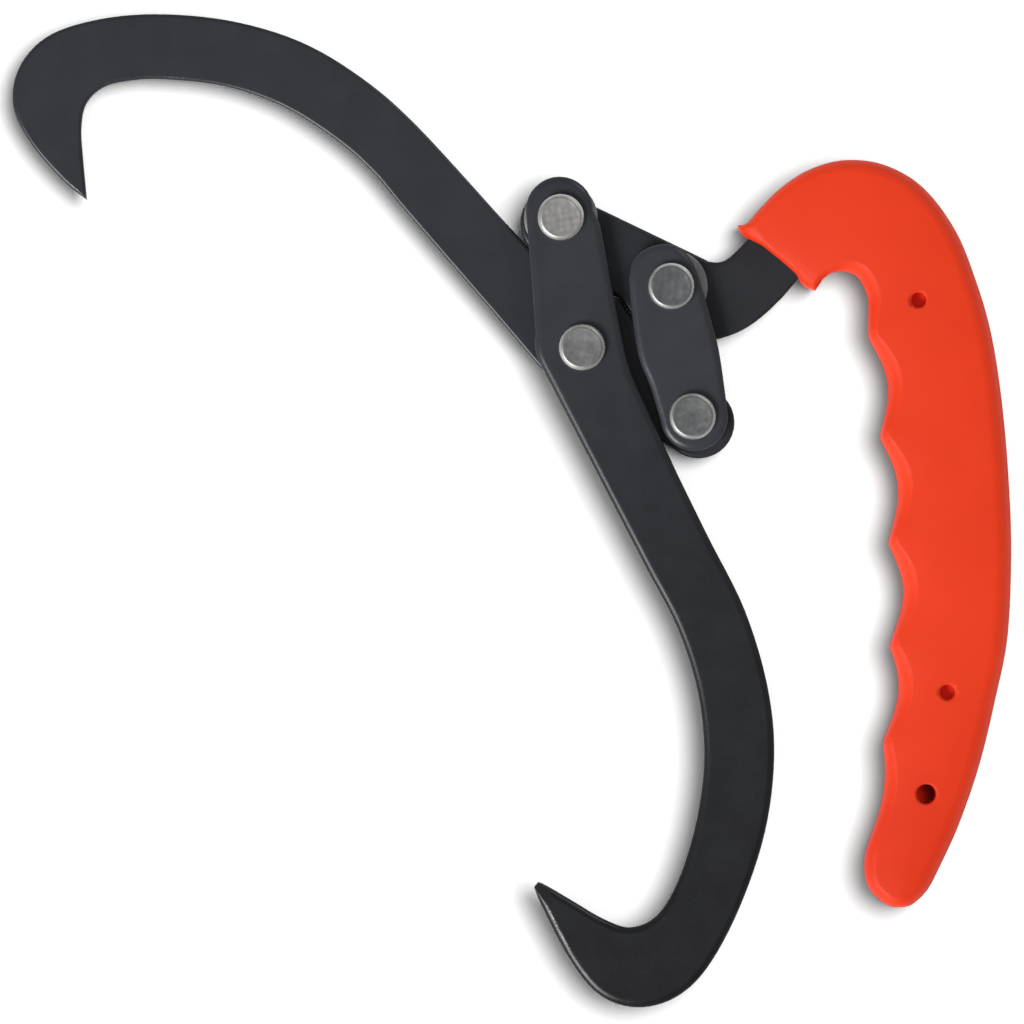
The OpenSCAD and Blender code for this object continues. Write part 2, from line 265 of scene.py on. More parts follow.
def settle(piece, body, node, material):
    """Finishes a piece: its material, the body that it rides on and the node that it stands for."""
    piece.data.materials.clear()
    piece.data.materials.append(material)
    lit_pieces().objects.link(piece)
    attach(piece, body)
    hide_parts(node)


def grid_faces(rows, columns, close_rows=False, close_columns=True):
    """Four-sided faces of a grid whose points are numbered row by row. They face the side from which going along a
    row and then on to the next row is anticlockwise."""
    i = np.arange(rows if close_rows else rows - 1)[:, None]
    j = np.arange(columns if close_columns else columns - 1)[None, :]
    up, right = (i + 1) % rows, (j + 1) % columns
    corners = [i * columns + j, i * columns + right, up * columns + right, up * columns + j]
    return np.stack(np.broadcast_arrays(*corners), -1).reshape(-1, 4)


def walk(after, first):
    """The points of a closed loop in order from first, where after[i] is the point that follows point i. Each pass
    doubles the known part of the loop."""
    known, leap = np.array([first]), after
    while len(known) < len(after):
        known = np.concatenate([known, leap[known]])
        leap = leap[leap]
    back = np.flatnonzero(known[1:] == first)
    return known[:back[0] + 1]


def outline_of(node):
    """The outer edge of a CAD plate's front face, anticlockwise: the one-way edges of that face's triangles whose
    other way isn't there, followed from the leftmost point."""
    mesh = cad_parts[node].data
    mesh.calc_loop_triangles()
    corners = np.zeros(len(mesh.loop_triangles) * 3, int)
    mesh.loop_triangles.foreach_get("vertices", corners)
    points, number_of = np.unique(np.round(points_of(mesh), 6), axis=0, return_inverse=True)
    triangles = number_of.ravel()[corners].reshape(-1, 3)
    front = triangles[(points[triangles, 2] == points[:, 2].max()).all(1)]
    edges = np.concatenate([front[:, [0, 1]], front[:, [1, 2]], front[:, [2, 0]]])
    one_way = edges[:, 0] * len(points) + edges[:, 1]
    other_way = edges[:, 1] * len(points) + edges[:, 0]
    rim = edges[~np.isin(one_way, other_way)]
    after = np.arange(len(points))
    after[rim[:, 0]] = rim[:, 1]
    first = rim[np.argmin(points[rim[:, 0], 0]), 0]
    return points[walk(after, first), :2]


def way_in(outline):
    """At each point of a closed anticlockwise outline, the way into the material: the sum of the two edges' inward
    normals, made so long that both edges move in by 1."""
    ahead = np.roll(outline, -1, 0) - outline
    ahead /= np.linalg.norm(ahead, axis=1)[:, None]
    inward = np.stack([-ahead[:, 1], ahead[:, 0]], 1)
    both = inward + np.roll(inward, 1, 0)
    return both / np.maximum((both * both).sum(1) / 2, 0.3)[:, None]


def circle(centre, radius, count):
    """Points evenly spaced round a circle, anticlockwise."""
    turn = np.linspace(0, 2 * np.pi, count, endpoint=False)
    return centre + radius * np.stack([np.cos(turn), np.sin(turn)], 1)


def at_height(points, height):
    """Flat points, put at one height."""
    return np.column_stack([points, np.full(len(points), height)])


def flat_face(loops, first_numbers, facing_up):
    """Triangles that fill the flat face between an outer loop and the holes in it."""
    flat = np.concatenate(loops)
    found = np.array(tessellate_polygon([[Vector((*p, 0)) for p in loop] for loop in loops]))
    numbers = np.concatenate([first + np.arange(len(loop)) for first, loop in zip(first_numbers, loops)])
    a, b, c = (flat[found[:, k]] for k in range(3))
    up = (b - a)[:, 0] * (c - a)[:, 1] - (b - a)[:, 1] * (c - a)[:, 0] > 0
    found[up != facing_up] = found[up != facing_up][:, ::-1]
    return numbers[found]


def bevel(width, inner_tilt, outer_tilt, corner):
    """A rolled edge of a given width as insets from the side and falls below the face, from the side inwards: a
    small arc from upright to outer_tilt, and then one that turns from outer_tilt to inner_tilt."""
    small = np.linspace(np.pi / 2, outer_tilt, 4)
    large = np.linspace(outer_tilt, inner_tilt, 10)[1:]
    radius = (width - corner * (1 - sin(outer_tilt))) / (sin(outer_tilt) - sin(inner_tilt))
    inset = np.concatenate([corner * (1 - np.sin(small)),
                            corner * (1 - sin(outer_tilt)) + radius * (sin(outer_tilt) - np.sin(large))])
    rise = np.concatenate([corner * np.cos(small),
                           corner * cos(outer_tilt) + radius * (np.cos(large) - cos(outer_tilt))])
    return inset, rise[-1] - rise


def make_plate(node, look):
    """A stamped plate. Its rim is the CAD plate's outline carried over a profile: a small radius at the rear, the
    straight side, and at the front a rolled edge. Beside a hook's point the profile is drawn narrower, in step
    with the distance to the point. Flat faces with round holes close it."""
    roll = look.front_roll if node in FRONT_PLATES else look.back_roll
    outline = outline_of(node)
    low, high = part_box(node)[0][2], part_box(node)[1][2]
    rear_turn = np.linspace(0, np.pi / 2, 5)
    inset, fall = bevel(roll, 0, look.roll_tilt, look.corner)
    margin = 0.1 * MM
    inset = np.concatenate([[look.rear_edge + margin], look.rear_edge * (1 - np.sin(rear_turn)), inset,
                            [roll + margin]])
    height = np.concatenate([[low], low + look.rear_edge * (1 - np.cos(rear_turn)), high - fall, [high]])
    gap = np.linalg.norm(outline[:, None] - HOOK_POINTS[None], axis=2).min(1)
    least = 0.04 * MM
    share = np.minimum(1, (least + look.point_slope * gap) / inset.max())
    rim = outline + (inset[:, None] * share)[..., None] * way_in(outline)
    rim = np.concatenate([rim, np.broadcast_to(height[:, None, None], (*rim.shape[:2], 1))], 2)
    levels, around = rim.shape[:2]
    holes = [(middle(rivet)[:2], look.hole) for rivet in RIVETS_IN[node]]
    if node == "handle_bar":
        holes.append((HANGING_HOLE, look.eye))
    points, faces = [rim.reshape(-1, 3)], [grid_faces(levels, around)]
    edge = [np.repeat(np.clip(1 - inset / roll, 0, 1), around)]
    rear_loops, front_loops = [rim[0, :, :2]], [rim[-1, :, :2]]
    rear_first, front_first = [0], [(levels - 1) * around]
    for centre, radius in holes:
        first = sum(map(len, points))
        loop = circle(centre, radius, ROUND_HOLE)
        points += [at_height(loop, low), at_height(loop, high)]
        faces.append(first + grid_faces(2, ROUND_HOLE)[:, ::-1])
        edge.append(np.zeros(2 * ROUND_HOLE))
        rear_loops.append(loop)
        front_loops.append(loop)
        rear_first.append(first)
        front_first.append(first + ROUND_HOLE)
    sides = np.concatenate(faces).tolist()
    flats = flat_face(rear_loops, rear_first, False).tolist() + flat_face(front_loops, front_first, True).tolist()
    points = np.concatenate(points)
    # painted light: each point's share of the lighter paint colour, larger near the upper pivots, towards the top
    # of the lower jaw and on the plates where the light falls
    all_over, near_pivots, upwards = LIGHT_ON_PAINT[node]
    near = np.exp(-(np.linalg.norm(points[:, :2] - LIGHT_ON_PAINT_CENTRE, axis=1) / LIGHT_ON_PAINT_REACH) ** 2)
    painted_light = all_over + near_pivots * near + upwards * (points[:, 1] - middle(node)[1])
    rubbed = np.zeros(len(points))
    if node in CHIPPED:
        side, lost, reach = CHIPPED[node]
        inward = way_in(outline)
        # the cosine of the angle between the way that the edge faces and that of the chipped edges
        facing = -(inward / np.linalg.norm(inward, axis=1)[:, None]) @ side
        chips = lost * np.clip((facing - 0.5) / 0.3, 0, 1) * np.clip(1.5 - gap / reach, CHIPPED_FURTHER, 1)
        rubbed[:levels * around] = np.tile(chips * (outline[:, 0] < MAIN_PIVOT[0]), levels)
    plate = put_mesh(f"{node}_plate", points, sides + flats,
                     {"edge": np.concatenate(edge), "painted_light": painted_light, "rubbed": rubbed})
    plate.data.set_sharp_from_angle(angle=CREASE)
    return plate


def turned(profile, centre, segments):
    """The points of a profile of (radius, height) points turned about an upright axis."""
    turn = np.linspace(0, 2 * np.pi, segments, endpoint=False)
    radius, height = profile.T[:, :, None]
    return np.stack([centre[0] + radius * np.cos(turn), centre[1] + radius * np.sin(turn), height + 0 * turn], -1)


def lathe(name, profile, centre, segments=ROUND, dents=None):
    """A turned solid whose profile starts and ends on the axis, with a pole at each end."""
    body = turned(profile[1:-1], centre, segments)
    poles = np.array([[centre[0], centre[1], profile[0][1]], [centre[0], centre[1], profile[-1][1]]])
    points = np.concatenate([body.reshape(-1, 3), poles])
    if dents is not None:
        points[:, 2] += dents(points)
    rows = len(profile) - 2
    here, there = np.arange(segments), (np.arange(segments) + 1) % segments
    last = (rows - 1) * segments
    bottom = np.stack([there, here, np.full(segments, rows * segments)], 1)
    top = np.stack([last + here, last + there, np.full(segments, rows * segments + 1)], 1)
    return put_mesh(name, points, grid_faces(rows, segments).tolist() + bottom.tolist() + top.tolist())


def make_rivet(node, look):
    """A rivet: the shank between two heads. Each head's face is slightly dished and carries shallow hammer marks,
    a sum of a few waves that fades out towards the rounded rim."""
    low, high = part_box(node)[0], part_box(node)[1]
    centre, head = middle(node), (high[0] - low[0]) / 2
    bar_rear, plate_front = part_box("handle_bar")[0][2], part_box("lower_jaw")[1][2]
    face = np.linspace(0, head - look.rim, 16)
    inset, fall = bevel(look.rim, look.rim_inner, look.rim_outer, look.corner)
    upper = np.concatenate([np.stack([face, -look.dish * (1 - (face / face[-1]) ** 2)], 1),
                            np.stack([head - inset, -fall], 1)[-2::-1]])
    seat = 0.02 * MM
    shank = [[head, bar_rear - seat], [look.shank, bar_rear - seat], [look.shank, plate_front + seat],
             [head, plate_front + seat]]
    profile = np.concatenate([upper * (1, -1) + (0, low[2]), shank, upper[::-1] + (0, high[2])])
    count = 5
    waves = np.random.default_rng(sorted(RIVETS).index(node) + 5)
    direction = waves.uniform(0, 2 * np.pi, count)
    period = waves.uniform(1.6, 4.2, count) * MM
    start = waves.uniform(0, 2 * np.pi, count)

    def dents(points):
        flat = points[:, :2] - centre[:2]
        along = flat[:, :1] * np.cos(direction) + flat[:, 1:] * np.sin(direction)
        wave = np.sin(2 * np.pi * along / period + start).mean(1)
        fade = np.clip((head - 0.8 * look.rim - np.linalg.norm(flat, axis=1)) / (1.2 * MM), 0, 1)
        upwards = points[:, 2] - centre[2]
        on_face = np.abs(upwards) > (high[2] - low[2]) / 2 - 2 * look.dish
        return np.where(on_face, np.sign(upwards) * look.dent * fade * (wave - 1), 0)

    rivet = lathe(f"{node}_steel", profile, centre, dents=dents)
    from_middle = np.linalg.norm(points_of(rivet.data)[:, :2] - centre[:2], axis=1)
    on_rim = np.clip((from_middle - face[-1]) / (0.3 * MM), 0, 1)
    put_attribute(rivet.data, "polish", POLISH[node] + (1 - POLISH[node]) * on_rim)
    rivet.data.set_sharp_from_angle(angle=CREASE)
    return rivet


def make_washer(node, look):
    """A flat washer: a rounded rectangle of (radius, height) points turned about an upright axis."""
    low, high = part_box(node)[0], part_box(node)[1]
    outer, inner, soft = (high[0] - low[0]) / 2, look.shank + 0.02 * MM, 0.15 * MM
    corners = np.array([[outer - soft, low[2] + soft], [outer - soft, high[2] - soft],
                        [inner + soft, high[2] - soft], [inner + soft, low[2] + soft]])
    steps = np.radians([-90, 0, 90, 180])[:, None] + np.radians(np.linspace(0, 90, 4))
    profile = (corners[:, None] + soft * np.stack([np.cos(steps), np.sin(steps)], -1)).reshape(-1, 2)
    points = turned(profile, middle(node), ROUND).reshape(-1, 3)
    faces = grid_faces(len(profile), ROUND, close_rows=True)
    return put_mesh(f"{node}_ring", points, faces.tolist(), {"polish": np.full(len(points), POLISH[node])})


def on_curve(points, station):
    """Places at given stations of the smooth curve through a list of points. Between two points it is the cubic
    whose slope at each is half the way from the point before to the point after."""
    p = np.asarray(points, float)
    i = np.clip(np.floor(station).astype(int), 0, len(p) - 2)
    t = (station - i)[..., None]
    a, b, c, d = p[np.maximum(i - 1, 0)], p[i], p[i + 1], p[np.minimum(i + 2, len(p) - 1)]
    return 0.5 * (2 * b + (c - a) * t + (2 * a - 5 * b + 4 * c - d) * t**2 + (3 * b - a - 3 * c + d) * t**3)


def groove_depth(height_mm):
    """The finger grooves' depth at a height: between two ridges it follows the sine of half a turn, skewed so that
    the deepest place lies above the middle."""
    depth = np.zeros(height_mm.shape)
    for top, bottom, deep in zip(RIDGES_MM, RIDGES_MM[1:], GROOVES_MM):
        t = np.clip((top - height_mm) / (top - bottom), 0, 1)
        depth = np.maximum(depth, deep * np.sin(np.pi * t**GROOVE_SKEW).clip(0) ** GROOVE_POWER)
    return depth


def finger_edge(station, share=1.0):
    """The finger edge with a share of its grooves' depth, in mm from the pivot."""
    edge = on_curve(FINGER_EDGE_MM, station)
    edge[..., 0] += share * groove_depth(edge[..., 1])
    return edge


def palm_edge(station, share=1.0):
    """The palm edge, in mm from the pivot. It has no grooves, so it is the same for any share."""
    return on_curve(PALM_EDGE_MM, station)


def beside(edge, station, turn):
    """The unit way square to an edge, whose grooves are taken at half depth so that it turns slowly."""
    step = 0.05
    ahead = edge(np.minimum(station + step, LAST_STATION), 0.5) - edge(np.maximum(station - step, 0), 0.5)
    across = turn * np.stack([-ahead[..., 1], ahead[..., 0]], -1)
    return across / np.linalg.norm(across, axis=-1)[..., None]


def rounding(share, width, tilt):
    """How far a rounded edge lies below the face, at a share of its width: part of a circle that is upright at the
    edge and tilted by tilt where it meets the face."""
    radius = width / (1 - np.sin(tilt))
    inward = 1 - np.clip(share, 0, 1) * (1 - np.sin(tilt))
    return np.where(share < 1, radius * (np.cos(tilt) - np.sqrt(1 - inward**2)), 0)


def grip_plan(look, station, columns, finger):
    """Where one side of the grip's face has its points, seen from above, with the rounding's width and tilt. The
    columns run from the edge (0) over the rounding's inner edge (1) to the middle line (2)."""
    edge, turn = (finger_edge, 1) if finger else (palm_edge, -1)
    near_end = np.clip((station - SPINE_END) / (LAST_STATION - SPINE_END), 0, 1)
    if finger:
        groove = groove_depth(on_curve(FINGER_EDGE_MM, station)[..., 1] - 2) / max(GROOVES_MM)
        arch = np.sin(np.pi * np.clip((station - ARCH[0]) / (ARCH[1] - ARCH[0]), 0, 1)).clip(0)
        width = (look.finger_ridge + (look.finger_groove - look.finger_ridge) * groove**0.7
                 + (look.finger_arch - look.finger_ridge) * arch)
        tilt = np.full(station.shape, look.finger_tilt)
        near_width = np.clip(station - END_FACET, 0, 1)
    else:
        width = look.palm_mouth + (look.palm_width - look.palm_mouth) * np.clip(station / PALM_FULL, 0, 1)
        tilt = np.full(station.shape, look.palm_tilt)
        near_width = near_end
    width = width + (look.finger_end - width) * near_width
    tilt = tilt + ((look.finger_tilt + look.palm_tilt) / 2 - tilt) * near_end
    rim = from_pivot(edge(station))
    at_mouth = (np.clip(1 - station / MOUTH_TURNED, 0, 1) ** 1.5)[..., None]
    across = (1 - at_mouth) * beside(edge, station, turn) - at_mouth * turn * MOUTH_ALONG
    bench = rim + (width / np.linalg.norm(across, axis=-1))[..., None] * across
    spine_station = np.minimum(station, SPINE_END)
    spine = from_pivot((finger_edge(spine_station, 0) + palm_edge(spine_station)) / 2)
    flat = (rim + (bench - rim) * np.clip(columns, 0, 1)[:, None]
            + (spine - bench) * np.clip(columns - 1, 0, 1)[:, None])
    return flat, width, tilt


def grip_side(look, columns, finger):
    """One side of the grip's front face, from its mouth to its bottom end: rows at stations along the edge, where
    the rows behind the mouth follow its lip. Gives each point's place from above, and its height over the mould's
    parting plane: half the thickness, less the taper towards the mouth, the dome's fall towards the edges and the
    fall of the edge's rounding and of the lip's, which are joined as the fourth root of the sum of their fourth
    powers."""
    mouth = grip_plan(look, np.zeros((1, len(columns))), columns, finger)[0][0]
    along = ((mouth - from_pivot(PALM_EDGE_MM[0])) / MM) @ MOUTH_ALONG
    fine = on_curve(MOUTH_MM, np.linspace(0, len(MOUTH_MM) - 1, 400))
    forward, lip = (np.interp(along, fine[:, 0], fine[:, k]) for k in (1, 2))
    across = along / MOUTH_MM[-1][0]
    first, second = (MOUTH_STEPS[0][k] + (MOUTH_STEPS[1][k] - MOUTH_STEPS[0][k]) * across for k in (0, 1))
    lip_end = np.minimum(lip / first, 1) + np.maximum(lip - first, 0) / second

    dense = np.linspace(0, LAST_STATION, 3000)
    travelled = np.mean([np.concatenate([[0], np.cumsum(np.linalg.norm(np.diff(e(dense), axis=0), axis=1))])
                         for e in (finger_edge, palm_edge)], 0)
    spacing_mm = 0.5
    start = np.interp(MOUTH_BEND, dense, travelled) + spacing_mm
    rows = np.append(np.interp(np.arange(start, travelled[-1], spacing_mm), travelled, dense), LAST_STATION)
    lip_rows = 1 - np.cos(np.linspace(0, np.pi / 2, 9))
    station = np.concatenate([lip_rows[:, None] * lip_end,
                              lip_end + np.linspace(0, 1, 11)[1:, None] * (MOUTH_BEND - lip_end),
                              np.broadcast_to(rows[:, None], (len(rows), len(columns)))])
    lip_share = np.concatenate([lip_rows, np.ones(len(station) - len(lip_rows))])[:, None]

    flat, width, tilt = grip_plan(look, station, columns, finger)
    flat = flat + (np.clip(1 - station / 2, 0, 1) ** 2 * forward * MM)[..., None] * MOUTH_OUT
    seam_share = look.seam / width
    edge_fall = rounding((columns - seam_share) / (1 - seam_share), width, tilt)
    lip_fall = rounding(lip_share * np.ones(station.shape), lip * MM, look.lip_tilt)
    half = (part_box("grip")[1][2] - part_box("grip")[0][2]) / 2
    taper = look.mouth_taper * np.clip(1 - station / TAPER_START, 0, 1) ** 2
    dome = look.crown * (1 - np.clip(columns - 1, 0, 1)) ** 2
    return flat, half - taper - dome - (edge_fall**4 + lip_fall**4) ** 0.25


def make_grip(look):
    """The moulded grip. Rows run down the finger side, round the bottom end and up the palm side. Each row goes
    from the middle line of the front face over the rounded edge, down the side with the mould's raised parting
    line, and on to the middle line of the rear face, which mirrors the front."""
    columns = np.concatenate([np.linspace(2, 1.08, 9),
                              [1.03, 1, 0.95, 0.88, 0.78, 0.66, 0.54, 0.42, 0.31, 0.21, 0.13],
                              [look.seam / look.finger_ridge, 0]])
    finger_flat, finger_rise = grip_side(look, columns, True)
    palm_flat, palm_rise = grip_side(look, columns, False)
    between = np.linspace(0, 1, 7)[1:-1]
    join_flat = finger_flat[-1] + between[:, None, None] * (palm_flat[-1] - finger_flat[-1])
    join_rise = finger_rise[-1] + between[:, None] * (palm_rise[-1] - finger_rise[-1])
    flat = np.concatenate([finger_flat, join_flat, palm_flat[::-1]])
    rise = np.concatenate([finger_rise, join_rise, palm_rise[::-1]])

    # the side, from below the rounding to the parting line's foot and its flat crest, 0.2 mm wide. The last column
    # is that crest's place, and the one before it the side's own
    side, crest = flat[:, -2], flat[:, -1]
    top = rise[:, -3]
    side_flat = np.stack([side, side, side, crest], 1)
    side_rise = np.stack([top * 0.97, top * 0.5, np.full(len(top), 0.3 * MM), np.full(len(top), 0.1 * MM)], 1)
    flat = np.concatenate([flat[:, :-2], side_flat], 1)
    rise = np.concatenate([rise[:, :-2], side_rise], 1)

    middle_z = middle("grip")[2]
    front = np.concatenate([flat, (middle_z + rise)[..., None]], 2)
    rear = np.concatenate([flat, (middle_z - rise)[..., None]], 2)[:, ::-1]
    whole = np.concatenate([front, rear], 1)
    rows, across = whole.shape[:2]
    # the two ends of the mouth's face: strips from front to rear, where one strip takes in the side's points
    last = across // 2 - 1
    strips = [[j + 1, j] for j in range(last - 4)] + [[last - 1, last - 2, last - 3, last - 4], [last, last - 1]]
    finger_lid = [front_part + [across - 1 - k for k in front_part[::-1]] for front_part in strips]
    palm_lid = [[(rows - 1) * across + k for k in lid[::-1]] for lid in finger_lid]
    faces = grid_faces(rows, across, close_columns=False).tolist()
    return put_mesh("grip_body", whole.reshape(-1, 3), faces + finger_lid + palm_lid)


def merge(piece):
    """Joins a mesh's points that lie in one place, and drops the faces that this leaves without area."""
    apart = 1e-6
    work = bmesh.new()
    work.from_mesh(piece.data)
    bmesh.ops.remove_doubles(work, verts=work.verts, dist=apart)
    bmesh.ops.dissolve_degenerate(work, edges=work.edges, dist=apart)
    work.to_mesh(piece.data)
    work.free()


def carve(piece, tool):
    """Takes a tool shape away from a piece for good, and removes the tool shape."""
    change = piece.modifiers.new("carve", "BOOLEAN")
    change.operation = "DIFFERENCE"
    change.solver = "EXACT"
    change.object = tool
    graph = bpy.context.evaluated_depsgraph_get()
    done = bpy.data.meshes.new_from_object(piece.evaluated_get(graph))
    piece.modifiers.clear()
    piece.data = done
    bpy.data.objects.remove(tool)


def hole_rim(bore, width, depth, start):
    """A hole's rounded rim as points of (radius, height over the face): a quarter of an ellipse that leaves the
    bore upright, start below the face."""
    turn = np.linspace(0, np.pi / 2, 6)
    return np.stack([bore + width * (1 - np.cos(turn)), depth * np.sin(turn) - start], 1)


def finish_grip(grip, look):
    """Takes the bar's seat and the round holes out of the grip. The hanging hole goes through and has a flared rim
    on both faces; the pin holes are blind, one above the other on both faces."""
    low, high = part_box("grip")[0][2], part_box("grip")[1][2]
    merge(grip)
    seat = bpy.data.objects.new("bar_seat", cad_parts["handle_bar"].data.copy())
    bpy.context.scene.collection.objects.link(seat)
    merge(seat)
    carve(grip, seat)

    outward = 2 * MM
    flare = 1.0 * MM
    wide = look.hanging_hole + flare
    rim = hole_rim(look.hanging_hole, flare, 0.8 * MM, 0.7 * MM)
    profile = np.concatenate([[[0, low - outward], [wide, low - outward]], (rim * (1, -1) + (0, low))[::-1],
                              rim + (0, high), [[wide, high + outward], [0, high + outward]]])
    carve(grip, lathe("hanging_bore", profile, HANGING_HOLE))

    flare = 0.3 * MM
    wide = look.pin_hole + flare
    rim = hole_rim(look.pin_hole, flare, 0.4 * MM, 0.55 * MM)
    pin = np.concatenate([[[0, -look.pin_depth], [look.pin_hole, -look.pin_depth]], rim,
                          [[wide, outward], [0, outward]]])
    for centre in PIN_HOLES:
        carve(grip, lathe("front_pin", pin + (0, high), centre, ROUND_HOLE))
        carve(grip, lathe("rear_pin", pin[::-1] * (1, -1) + (0, low), centre, ROUND_HOLE))
    grip.data.shade_smooth()
    grip.data.set_sharp_from_angle(angle=radians(35))


def new_material(name):
    """A new material, its node tree, and the socket that gives the place on the piece."""
    material = bpy.data.materials.new(name)
    material.use_nodes = True
    tree = material.node_tree
    tree.nodes.clear()
    return material, tree, add_node(tree, "TexCoord").outputs["Object"]


def add_node(tree, kind, inputs=(), **settings):
    """Adds one shader node of a kind. settings are its own properties. inputs gives its sockets, by name or in
    their order: each a value, another node's socket, or another node, which stands for its first output."""
    made = tree.nodes.new("ShaderNode" + kind)
    for key, value in settings.items():
        setattr(made, key, value)
    for key, value in inputs.items() if isinstance(inputs, dict) else enumerate(inputs):
        if isinstance(value, bpy.types.Node):
            value = value.outputs[0]
        if isinstance(value, bpy.types.NodeSocket):
            tree.links.new(value, made.inputs[key])
        else:
            made.inputs[key].default_value = value
    return made


def satin_enamel(look):
    """Satin enamel baked on steel: nearly black, slightly blue, with the fine ripple that sprayed paint dries to
    and slow patches. It is painted lighter where the light falls on the plates, as painted light, glossier over
    the rolled edges, and chipped to the steel in specks towards the hooks' points."""
    material, tree, place = new_material("satin_enamel_on_steel")
    edge, painted_light, rubbed = [add_node(tree, "Attribute", attribute_name=name).outputs["Fac"]
                          for name in ("edge", "painted_light", "rubbed")]
    # cloudy patterns: the patches' size in mm, their detail and how strong that is
    patches, matt, specks, thin, ripple = [
        add_node(tree, "TexNoise", {"Vector": place, "Scale": 1 / (size_mm * MM), "Detail": detail,
                                    "Roughness": strength})
        for size_mm, detail, strength in ((9, 3, 0.5), (0.5, 2, 0.5), (0.5, 3, 0.7), (22, 2, 0.5), (0.7, 1, 0.5))]
    # the paint's colour, by its patches and its painted light
    shift = add_node(tree, "MapRange", (patches, 0.35, 0.65, -0.07, 0.07))
    tone = add_node(tree, "Math", (shift, painted_light), operation="ADD", use_clamp=True)
    base = add_node(tree, "Mix", {"Factor": tone, "A": tuple(look.paint), "B": tuple(look.lit_paint)},
                    data_type="RGBA").outputs["Result"]
    # its roughness, less over the rolled edge
    rough = add_node(tree, "MapRange", (matt, 0.3, 0.7, 0.36, 0.46))
    smoother = add_node(tree, "MapRange", (edge, 0.0, 0.3, 1.0, 0.72))
    gloss = add_node(tree, "Math", (rough, smoother), operation="MULTIPLY")
    # specks of bare steel, dense in some places, on a line along the crest of the rolled edge
    denser = add_node(tree, "MapRange", (thin, 0.5, 0.62, -0.22, 0.06))
    reach = add_node(tree, "Math", (specks, denser), operation="ADD")
    bare = add_node(tree, "MapRange", (reach, 0.5, 0.6, 0.0, 0.6))
    before = add_node(tree, "MapRange", (edge, 0.1, 0.3, 0.0, 1.0))
    past = add_node(tree, "MapRange", (edge, 0.34, 0.5, 1.0, 0.0))
    crest = add_node(tree, "Math", (before, past), operation="MULTIPLY")
    line = add_node(tree, "Math", (crest, rubbed), operation="MULTIPLY")
    chipped = add_node(tree, "Math", (bare, line), operation="MULTIPLY")
    seen = add_node(tree, "Mix", {"Factor": chipped, "A": base, "B": tuple(look.bare_steel)},
                    data_type="RGBA").outputs["Result"]
    relief = add_node(tree, "Bump", {"Height": ripple, "Distance": 0.016 * MM, "Strength": 1.0})
    shader = add_node(tree, "BsdfPrincipled", {"Base Color": seen, "Roughness": gloss, "Metallic": chipped,
                                               "Normal": relief, "Specular IOR Level": 0.38})
    add_node(tree, "OutputMaterial", {"Surface": shader})
    return material


def zinc_plated_steel(name, bright, dull):
    """Zinc-plated steel: a soft grey metal gloss with cloudy patches and the small marks of the riveting tool. A
    face that the tool has polished is brighter, and its rim is bright all round."""
    material, tree, place = new_material(name)
    polish = add_node(tree, "Attribute", attribute_name="polish").outputs["Fac"]
    # cloudy patterns: the patches' size in mm, their detail and how strong that is
    patches, matt, marks = [
        add_node(tree, "TexNoise", {"Vector": place, "Scale": 1 / (size_mm * MM), "Detail": detail,
                                    "Roughness": strength})
        for size_mm, detail, strength in ((4.5, 3, 0.5), (1.1, 2, 0.5), (2.2, 2, 0.4))]
    shift = add_node(tree, "MapRange", (patches, 0.35, 0.68, -0.16, 0.16))
    brightness = add_node(tree, "Math", (shift, polish), operation="ADD", use_clamp=True)
    base = add_node(tree, "Mix", {"Factor": brightness, "A": tuple(dull), "B": tuple(bright)},
                    data_type="RGBA").outputs["Result"]
    gloss = add_node(tree, "MapRange", (matt, 0.3, 0.7, 0.36, 0.45))
    relief = add_node(tree, "Bump", {"Height": marks, "Distance": 0.006 * MM, "Strength": 1.0})
    shader = add_node(tree, "BsdfPrincipled", {"Base Color": base, "Roughness": gloss, "Normal": relief,
                                               "Metallic": 1.0})
    add_node(tree, "OutputMaterial", {"Surface": shader})
    return material


def moulded_plastic(look):
    """Injection-moulded polypropylene, dyed orange-red: an even colour with slow flow patches, slightly deeper
    towards the bottom end, and the grain of an eroded mould, which gives it a soft sheen. The grain is drawn a
    little coarser than a real one, so that it shows."""
    material, tree, place = new_material("moulded_polypropylene")
    # cloudy patterns, by their patches' size in mm
    patches, matt, grain = [add_node(tree, "TexNoise", {"Vector": place, "Scale": 1 / (size_mm * MM)})
                            for size_mm in (14, 0.6, 0.45)]
    flow = add_node(tree, "MapRange", (patches, 0.35, 0.65, 0.0, 0.35))
    height = add_node(tree, "SeparateXYZ", (place,)).outputs["Y"]
    low_end = add_node(tree, "MapRange", (height, -40 * MM, -90 * MM, 0.0, 0.9))
    deep = add_node(tree, "Math", (flow, low_end), operation="ADD", use_clamp=True)
    base = add_node(tree, "Mix", {"Factor": deep, "A": tuple(look.plastic), "B": tuple(look.plastic_deep)},
                    data_type="RGBA").outputs["Result"]
    gloss = add_node(tree, "MapRange", (matt, 0.3, 0.7, 0.5, 0.62))
    relief = add_node(tree, "Bump", {"Height": grain, "Distance": 0.01 * MM, "Strength": 1.0})
    shader = add_node(tree, "BsdfPrincipled", {"Base Color": base, "Roughness": gloss, "Normal": relief,
                                               "IOR": 1.49, "Specular IOR Level": 0.35})
    add_node(tree, "OutputMaterial", {"Surface": shader})
    return material


def studio_board(name, text):
    """Matt board, with a faint unevenness in its tone. The studio's board is grey and stands under strong light of
    its own, so that it shows pure white outside the tool's shadow while little of the grip's colour spills on
    it."""
    material, tree, place = new_material(name)
    patches = add_node(tree, "TexNoise", {"Vector": place, "Scale": 1 / (60 * MM)})
    share = add_node(tree, "MapRange", (patches, 0.3, 0.7, 0.99, 1.01))
    base = add_node(tree, "VectorMath", {0: linear(text)[:3], "Scale": share}, operation="SCALE")
    shader = add_node(tree, "BsdfPrincipled", {"Base Color": base, "Roughness": 0.9, "Specular IOR Level": 0.0})
    add_node(tree, "OutputMaterial", {"Surface": shader})
    return material


